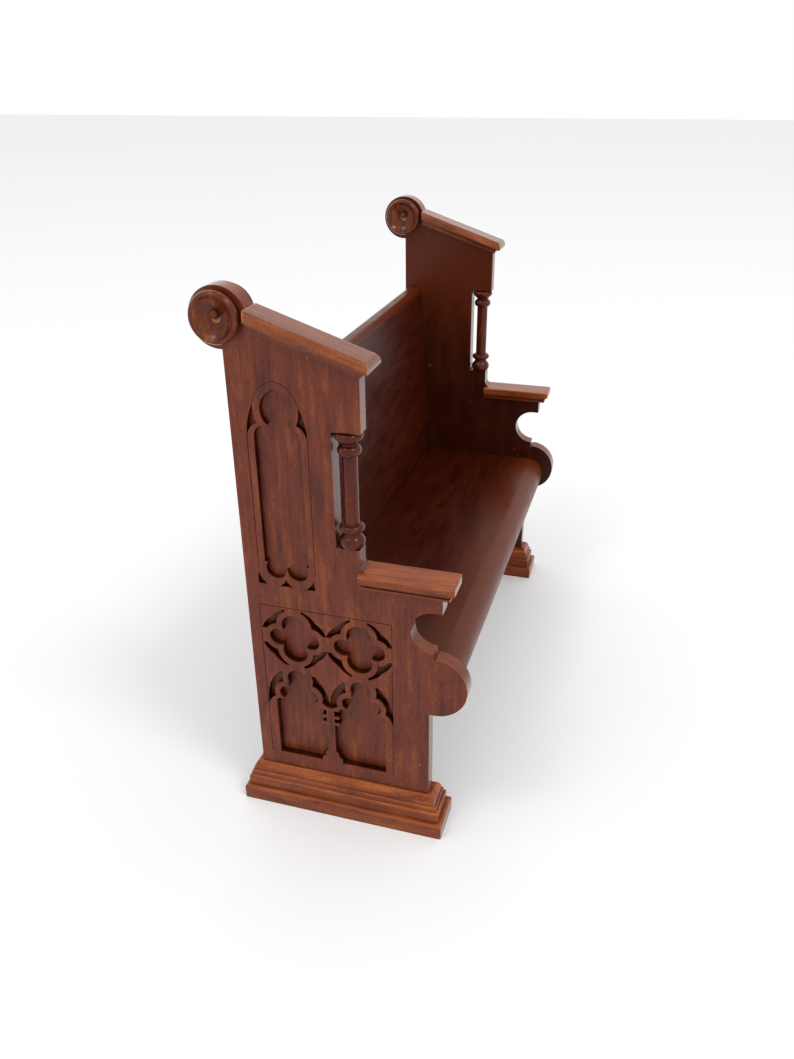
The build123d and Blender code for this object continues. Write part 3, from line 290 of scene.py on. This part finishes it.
# ---------------------------------------------------------------- node tree helper
class Tree:
    """A material's node tree, with short calls for the nodes used here."""

    def __init__(self, name):
        self.material = bpy.data.materials.new(name)
        self.material.use_nodes = True
        self.nodes = self.material.node_tree.nodes
        self.links = self.material.node_tree.links
        self.nodes.clear()

    def feed(self, socket, value):
        """Links a socket to another one, or sets it to a plain value."""
        if isinstance(value, bpy.types.NodeSocket):
            self.links.new(value, socket)
        elif isinstance(value, tuple) and socket.type == "RGBA":
            socket.default_value = (*value, 1.0)
        else:
            socket.default_value = value

    def add(self, kind, inputs=None, **settings):
        """New node with settings and inputs; inputs are keyed by socket name or number."""
        node = self.nodes.new(kind)
        for key, value in settings.items():
            setattr(node, key, value)
        for key, value in (inputs or {}).items():
            self.feed(node.inputs[key], value)
        return node

    def math(self, operation, a, b=0.0, clamp=False):
        node = self.add("ShaderNodeMath", {0: a, 1: b}, operation=operation, use_clamp=clamp)
        return node.outputs[0]

    def product(self, *factors):
        result = factors[0]
        for factor in factors[1:]:
            result = self.math("MULTIPLY", result, factor)
        return result

    def total(self, *terms, clamp=False):
        result = terms[0]
        for term in terms[1:]:
            result = self.math("ADD", result, term, clamp)
        return result

    def magnitude(self, value):
        """Value without its sign."""
        return self.math("ABSOLUTE", value)

    def swing(self, pattern, amount):
        """Noise pattern turned into a rise and fall about zero."""
        return self.product(self.math("SUBTRACT", pattern, 0.5), amount)

    def within(self, value, middle, half):
        """One inside a band round the middle, zero outside it."""
        return self.math("LESS_THAN", self.magnitude(self.math("SUBTRACT", value, middle)), half)

    def vector(self, operation, a, b):
        node = self.add("ShaderNodeVectorMath", {0: a, 1: b}, operation=operation)
        return node.outputs[0]

    def axis(self, value, letter):
        """One coordinate of a vector."""
        return self.add("ShaderNodeSeparateXYZ", {"Vector": value}).outputs[letter]

    def noise(self, place, scale, detail, roughness=0.5, distortion=0.0):
        inputs = {
            "Vector": place,
            "Scale": scale,
            "Detail": detail,
            "Roughness": roughness,
            "Distortion": distortion,
        }
        return self.add("ShaderNodeTexNoise", inputs).outputs["Fac"]

    def span(self, value, low, high, out_low=0.0, out_high=1.0):
        """Value moved from one range to another, smoothly and held at both ends."""
        inputs = {
            "Value": value,
            "From Min": low,
            "From Max": high,
            "To Min": out_low,
            "To Max": out_high,
        }
        node = self.add("ShaderNodeMapRange", inputs, interpolation_type="SMOOTHSTEP")
        return node.outputs["Result"]

    def mix(self, share, a, b):
        """Colour a, moved towards colour b by the share."""
        node = self.add("ShaderNodeMix", {0: share, 6: a, 7: b}, data_type="RGBA")
        return node.outputs[2]

    def pew_place(self):
        """Position on the pew in millimetres."""
        coordinates = self.add("ShaderNodeTexCoord").outputs["Object"]
        inputs = {0: coordinates, "Scale": 1 / MM}
        return self.add("ShaderNodeVectorMath", inputs, operation="SCALE").outputs[0]

    def open_air(self, reach, inside=False):
        """Share of open air round a point; with inside, the share of wood behind the face."""
        inputs = {"Distance": reach * MM}
        settings = {"samples": OPEN_AIR_SAMPLES, "inside": inside}
        return self.add("ShaderNodeAmbientOcclusion", inputs, **settings).outputs["AO"]

    def finish_with(self, inputs):
        """Ends the tree in one principled surface, and hands over the material."""
        surface = self.add("ShaderNodeBsdfPrincipled", inputs).outputs["BSDF"]
        self.add("ShaderNodeOutputMaterial", {"Surface": surface})
        return self.material


# ---------------------------------------------------------------- stained wood
class WoodTree(Tree):
    """Node tree of one wooden piece, with the places and patterns that its parts share."""

    def __init__(self, name, finish, grain, tilt, shift):
        super().__init__(name)
        self.finish = finish
        self.pew = self.pew_place()
        turn = {"Vector": self.pew, "Angle": radians(tilt)}
        turned = self.add("ShaderNodeVectorRotate", turn, rotation_type="X_AXIS").outputs[0]
        self.place = self.vector("ADD", turned, shift)
        self.add_patterns(grain)
        normal = self.add("ShaderNodeNewGeometry").outputs["True Normal"]
        self.up = self.axis(self.pew, "Z")
        self.facing_up = self.axis(normal, "Z")
        self.facing_sideways = self.magnitude(self.axis(normal, "X"))
        self.level = self.span(self.facing_up, 0.0, LEVEL_NORMAL)
        crevice_air = self.open_air(CREVICE_REACH)
        self.crevice = self.span(crevice_air, CREVICE_FULL, CREVICE_NONE, 1.0, 0.0)

    def add_patterns(self, grain):
        """Streaks and fibres along the grain, cloudy mottle, and flecks."""
        along = self.vector("MULTIPLY", self.place, grain)
        cloudy = tuple(
            MOTTLE_STRETCH_LEAST + MOTTLE_STRETCH_SHARE * stretch for stretch in grain
        )
        self.streaks = self.noise(along, **STREAKS)
        self.mottle = self.noise(self.vector("MULTIPLY", self.place, cloudy), **MOTTLE)
        self.fibres = self.noise(along, **FIBRES)
        self.flecks = self.noise(self.vector("MULTIPLY", self.place, FLECK_STRETCH), **FLECKS)


def grain_colour(tree):
    """Stain as the grain takes it, before any wear or dirt."""
    finish = tree.finish
    tone = tree.total(
        tree.product(tree.streaks, 1.0 - finish["mottle"]),
        tree.product(tree.mottle, finish["mottle"]),
        tree.swing(tree.fibres, FIBRE_TONE),
        tree.swing(tree.flecks, FLECK_TONE),
    )
    colour = tree.mix(tree.span(tone, *DARK_TO_MIDDLE), finish["dark"], finish["middle"])
    return tree.mix(tree.span(tone, *MIDDLE_TO_LIGHT), colour, finish["light"])


def side_stain(tree, colour):
    """Painted shade: a darker colour on the faces that don't look up."""
    darker = tree.mix(tree.level, SIDE_SHADE_COLOUR, colour)
    return tree.mix(tree.finish["side"], colour, darker)


def hollow_stain(tree, colour):
    """Painted shade that darkens the deep hollows."""
    air = tree.open_air(HOLLOW_REACH)
    depth = tree.span(air, HOLLOW_FULL, HOLLOW_NONE, tree.finish["hollow"], 0.0)
    return tree.mix(depth, colour, HOLLOW_SHADE_COLOUR)


def worn_and_highlit_arrises(tree, colour):
    """Arrises paler in patches, partly rubbed wood and partly painted highlight; on mouldings
    only those that look up.
    """
    behind = tree.open_air(ARRIS_REACH, inside=True)
    arris = tree.span(behind, ARRIS_FULL, ARRIS_NONE, 1.0, 0.0)
    if tree.finish["side"]:
        arris = tree.product(arris, tree.level)
    patches = tree.span(tree.noise(tree.place, **ARRIS_PATCHES), PATCH_NONE, PATCH_FULL)
    paled = tree.product(arris, patches, tree.finish["arris_wear_and_highlight"])
    return tree.mix(paled, colour, tree.finish["worn_and_highlit"])


def painted_edge_highlights(tree, colour):
    """Painted highlight: a lighter, browner colour on the rolled front of the seat and the top
    edge of the back.
    """
    front = tree.span(tree.axis(tree.pew, "Y"), ROLL_FRONT, ROLL_BACK, ROLL_STRENGTH, 0.0)
    top = tree.span(tree.up, TOP_EDGE_LOW, TOP_EDGE_HIGH, 0.0, TOP_EDGE_STRENGTH)
    return tree.mix(tree.math("MAXIMUM", front, top), colour, EDGE_HIGHLIGHT_COLOUR)


def carving_walls(tree, outward):
    """One on the upright walls of the sunk carving, zero on its floors and on the faces."""
    wall = tree.math("LESS_THAN", tree.facing_sideways, WALL_NORMAL)
    areas = 0.0
    for middle_y, half_y, middle_z, half_z in CARVED_AREAS:
        inside = tree.product(
            tree.within(tree.axis(tree.pew, "Y"), middle_y, half_y),
            tree.within(tree.up, middle_z, half_z),
        )
        areas = tree.total(areas, inside, clamp=True)
    sunk = tree.span(outward, OUTER_FACE - SUNK_FULL, OUTER_FACE - SUNK_NONE, 1.0, 0.0)
    return tree.product(wall, areas, sunk)


def painted_top_light(tree, colour):
    """Painted light: faces of the carved end that look up are paler, and more so towards the
    top.
    """
    top_light = tree.product(
        tree.span(tree.facing_up, TOP_LIGHT_NORMAL_NONE, TOP_LIGHT_NORMAL_FULL),
        tree.span(tree.up, *TOP_LIGHT_HEIGHTS, *TOP_LIGHT_STRENGTHS),
    )
    return tree.mix(top_light, colour, tree.finish["worn_and_highlit"])


def inner_painted_shade(tree, inner, colour):
    """Painted shade on the inner face of a pew end: dark, and lighter towards the top."""
    light = tree.total(tree.span(tree.up, *INNER_HEIGHTS, *INNER_LIGHTS), tree.mottle)
    share = tree.span(light, *INNER_LOW_TO_HIGH)
    return tree.mix(inner, colour, tree.mix(share, INNER_SHADED_COLOUR, INNER_LIT_COLOUR))


def carved_end(tree, colour):
    """Colour of a carved pew end with its painted light and shade, and where its varnish is
    dull.
    """
    outward = tree.magnitude(tree.axis(tree.pew, "X"))
    inner = tree.math("LESS_THAN", outward, INNER_FACE)
    colour = painted_top_light(tree, colour)
    colour = inner_painted_shade(tree, inner, colour)
    # Painted shade on the carving's walls, varied by the mottle.
    shade_strength = tree.span(tree.mottle, *WALL_MOTTLE, *WALL_SHADE)
    wall_shade = tree.product(carving_walls(tree, outward), shade_strength)
    colour = tree.mix(wall_shade, colour, WALL_SHADE_COLOUR)
    dull = tree.math("MAXIMUM", tree.crevice, wall_shade)
    dull = tree.math("MAXIMUM", dull, tree.product(inner, INNER_DULLNESS))
    return colour, dull


def crevice_shade_and_dust(tree, colour):
    """Painted shade that darkens the crevices, and a few pale specks of dust."""
    colour = tree.mix(tree.product(tree.crevice, CREVICE_SHADE), colour, CREVICE_SHADE_COLOUR)
    specks = tree.span(tree.noise(tree.place, **DUST), DUST_NONE, DUST_FULL)
    return tree.mix(tree.product(specks, DUST_STRENGTH), colour, DUST_COLOUR)


def wood_bump(tree):
    """Fine relief of fibres, flecks and slow ripples in the varnish."""
    relief = tree.total(
        tree.product(tree.fibres, FIBRE_BUMP),
        tree.product(tree.noise(tree.place, **RIPPLES), RIPPLE_BUMP),
        tree.product(tree.flecks, FLECK_BUMP),
    )
    inputs = {"Strength": BUMP_STRENGTH, "Distance": BUMP_HEIGHT * MM, "Height": relief}
    return tree.add("ShaderNodeBump", inputs).outputs["Normal"]


def varnish(tree, colour, dull):
    """Satin varnish over the colour, with a glossier coat on surfaces seen edge-on."""
    finish = tree.finish
    smoothest = finish["roughness"] - ROUGHNESS_BELOW
    roughest = finish["roughness"] + ROUGHNESS_ABOVE
    roughness = tree.total(
        tree.span(tree.mottle, *ROUGHNESS_MOTTLE, smoothest, roughest),
        tree.product(tree.crevice, CREVICE_ROUGHNESS),
        clamp=True,
    )
    facing = tree.add("ShaderNodeLayerWeight", {"Blend": FACING_BLEND}).outputs["Facing"]
    return tree.finish_with(
        {
            "Base Color": colour,
            "Roughness": roughness,
            "IOR": VARNISH_IOR,
            "Specular IOR Level": tree.span(dull, 0.0, 1.0, finish["specular"], DULL_SPECULAR),
            "Coat Weight": tree.span(facing, *EDGE_ON, FACE_ON_COAT, finish["sheen"]),
            "Coat Roughness": COAT_ROUGHNESS,
            "Normal": wood_bump(tree),
        }
    )


def wood(name, finish, grain, tilt, shift):
    """Stained and varnished hardwood with streaks, mottle, wear, painted highlights and painted
    shade in its crevices.
    """
    tree = WoodTree(name, finish, grain, tilt, shift)
    colour = grain_colour(tree)
    # Painted shade on the faces that don't look up.
    if finish["side"]:
        colour = side_stain(tree, colour)
    # Painted shade in the deep hollows.
    if finish["hollow"]:
        colour = hollow_stain(tree, colour)
    # Paler arrises: partly wear, partly painted highlight.
    colour = worn_and_highlit_arrises(tree, colour)
    # Painted highlight on the seat's rolled front and the back's top edge.
    if finish["edge_highlight"]:
        colour = painted_edge_highlights(tree, colour)
    dull = tree.crevice
    if finish["carved"]:
        colour, dull = carved_end(tree, colour)
    return varnish(tree, crevice_shade_and_dust(tree, colour), dull)


# ---------------------------------------------------------------- brass pins
def pin_brass(name):
    """Dull brass of the little pins, with darker tarnish in patches."""
    tree = Tree(name)
    tarnish = tree.noise(tree.pew_place(), **TARNISH)
    share = tree.span(tarnish, *TARNISH_COLOUR_SPAN)
    return tree.finish_with(
        {
            "Base Color": tree.mix(share, BRASS_COLOUR, TARNISH_COLOUR),
            "Metallic": 1.0,
            "Roughness": tree.span(tarnish, *TARNISH_ROUGHNESS_SPAN, *BRASS_ROUGHNESS),
        }
    )


# ---------------------------------------------------------------- pieces
def soften(piece, width):
    """Welds the CAD mesh, merges its flat facets and rounds its sharp edges a little."""
    weld = piece.modifiers.new("weld", "WELD")
    weld.merge_threshold = WELD_DISTANCE * MM
    merge = piece.modifiers.new("merge_flats", "DECIMATE")
    merge.decimate_type = "DISSOLVE"
    merge.angle_limit = radians(FLAT_ANGLE)
    if width:
        bevel = piece.modifiers.new("arris", "BEVEL")
        bevel.width = width * MM
        bevel.segments = ARRIS_SEGMENTS
        bevel.limit_method = "ANGLE"
        bevel.angle_limit = radians(ARRIS_ANGLE)
        bevel.miter_outer = "MITER_ARC"
        bevel.use_clamp_overlap = True
    piece.data.polygons.foreach_set("use_smooth", [True] * len(piece.data.polygons))
    normals = piece.modifiers.new("normals", "WEIGHTED_NORMAL")
    normals.keep_sharp = True
    normals.weight = NORMAL_WEIGHT


def dress(name, material):
    """Gives a piece its material and rounds its arrises."""
    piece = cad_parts[name]
    piece.data.materials.clear()
    piece.data.materials.append(material)
    last_word = name.split("_")[-1]
    soften(piece, ARRIS_WIDTH.get(last_word, 0))


for number, (name, (finish, grain, tilt)) in enumerate(PIECES.items()):
    shift = tuple(number * step for step in PATTERN_STEP)
    dress(name, wood(f"{name}_wood", finish, grain, tilt, shift))
dress("seat_bearer_pins", pin_brass("seat_bearer_pins_brass"))


# ---------------------------------------------------------------- floor
FLOOR_UP = -0.02 * MM
FLOOR_REACH = 2.5
FLOOR_WHITE = (0.86, 0.86, 0.86)
FLOOR_CLOUD = (0.8471, 0.8471, 0.8514)
FLOOR_ROUGHNESS = 0.75
CLOUDS = {"scale": 6.0, "detail": 3.0}


def floor_white():
    """Matt off-white board with a faint cloudiness."""
    tree = Tree("floor_white")
    place = tree.add("ShaderNodeTexCoord").outputs["Object"]
    colour = tree.mix(tree.noise(place, **CLOUDS), FLOOR_CLOUD, FLOOR_WHITE)
    return tree.finish_with({"Base Color": colour, "Roughness": FLOOR_ROUGHNESS})


def add_floor():
    """Square board just under the pew."""
    corners = [
        (-FLOOR_REACH, -FLOOR_REACH, FLOOR_UP),
        (FLOOR_REACH, -FLOOR_REACH, FLOOR_UP),
        (FLOOR_REACH, FLOOR_REACH, FLOOR_UP),
        (-FLOOR_REACH, FLOOR_REACH, FLOOR_UP),
    ]
    mesh = bpy.data.meshes.new("floor")
    mesh.from_pydata(corners, [], [(0, 1, 2, 3)])
    mesh.materials.append(floor_white())
    board = bpy.data.objects.new("floor", mesh)
    scene.collection.objects.link(board)


add_floor()

# ---------------------------------------------------------------- light
LAMP_AIM = Vector((0, 0, 0.05))
LAMP_DISTANCE = 1.2
LAMP_SIZE = 0.30


def lamp(name, azimuth, elevation, power):
    """Square area lamp aimed at the middle of the pew; azimuth is counted from +X."""
    across = cos(radians(elevation))
    direction = Vector(
        (
            across * cos(radians(azimuth)),
            across * sin(radians(azimuth)),
            sin(radians(elevation)),
        )
    )
    data = bpy.data.lights.new(name, "AREA")
    data.energy = power
    data.size = LAMP_SIZE
    light = bpy.data.objects.new(name, data)
    light.location = LAMP_AIM + direction * LAMP_DISTANCE
    light.rotation_mode = "QUATERNION"
    light.rotation_quaternion = direction.to_track_quat("Z", "Y")
    scene.collection.objects.link(light)


lamp("lamp_front_left", azimuth=243.5, elevation=53.6, power=3.2)
lamp("lamp_back_left", azimuth=143.0, elevation=56.0, power=1.8)

world = bpy.data.worlds.new("soft_room")
world.use_nodes = True
background = world.node_tree.nodes["Background"]
background.inputs["Color"].default_value = (1.0, 1.0, 1.0, 1.0)
background.inputs["Strength"].default_value = 1.0
scene.world = world
scene.view_settings.view_transform = "Standard"

# ---------------------------------------------------------------- camera
# The camera looks along its azimuth, counted from +X, and down by its tilt.
CAMERA_PLACE = Vector((-0.19496, -0.05425, 0.14646))
CAMERA_AZIMUTH = 17.250
CAMERA_TILT = 27.689
CAMERA_ROLL = -0.596
CAMERA_LENS = 30.45

camera_data = bpy.data.cameras.new("camera")
camera_data.lens = CAMERA_LENS
camera_data.sensor_width = 36.0
camera_data.clip_start = 0.005
camera_data.clip_end = 20.0
camera = bpy.data.objects.new("camera", camera_data)
scene.collection.objects.link(camera)
aim = Euler((radians(90 - CAMERA_TILT), 0, radians(CAMERA_AZIMUTH - 90))).to_matrix().to_4x4()
roll = Matrix.Rotation(radians(CAMERA_ROLL), 4, "Z")
camera.matrix_world = Matrix.Translation(CAMERA_PLACE) @ aim @ roll
scene.camera = camera
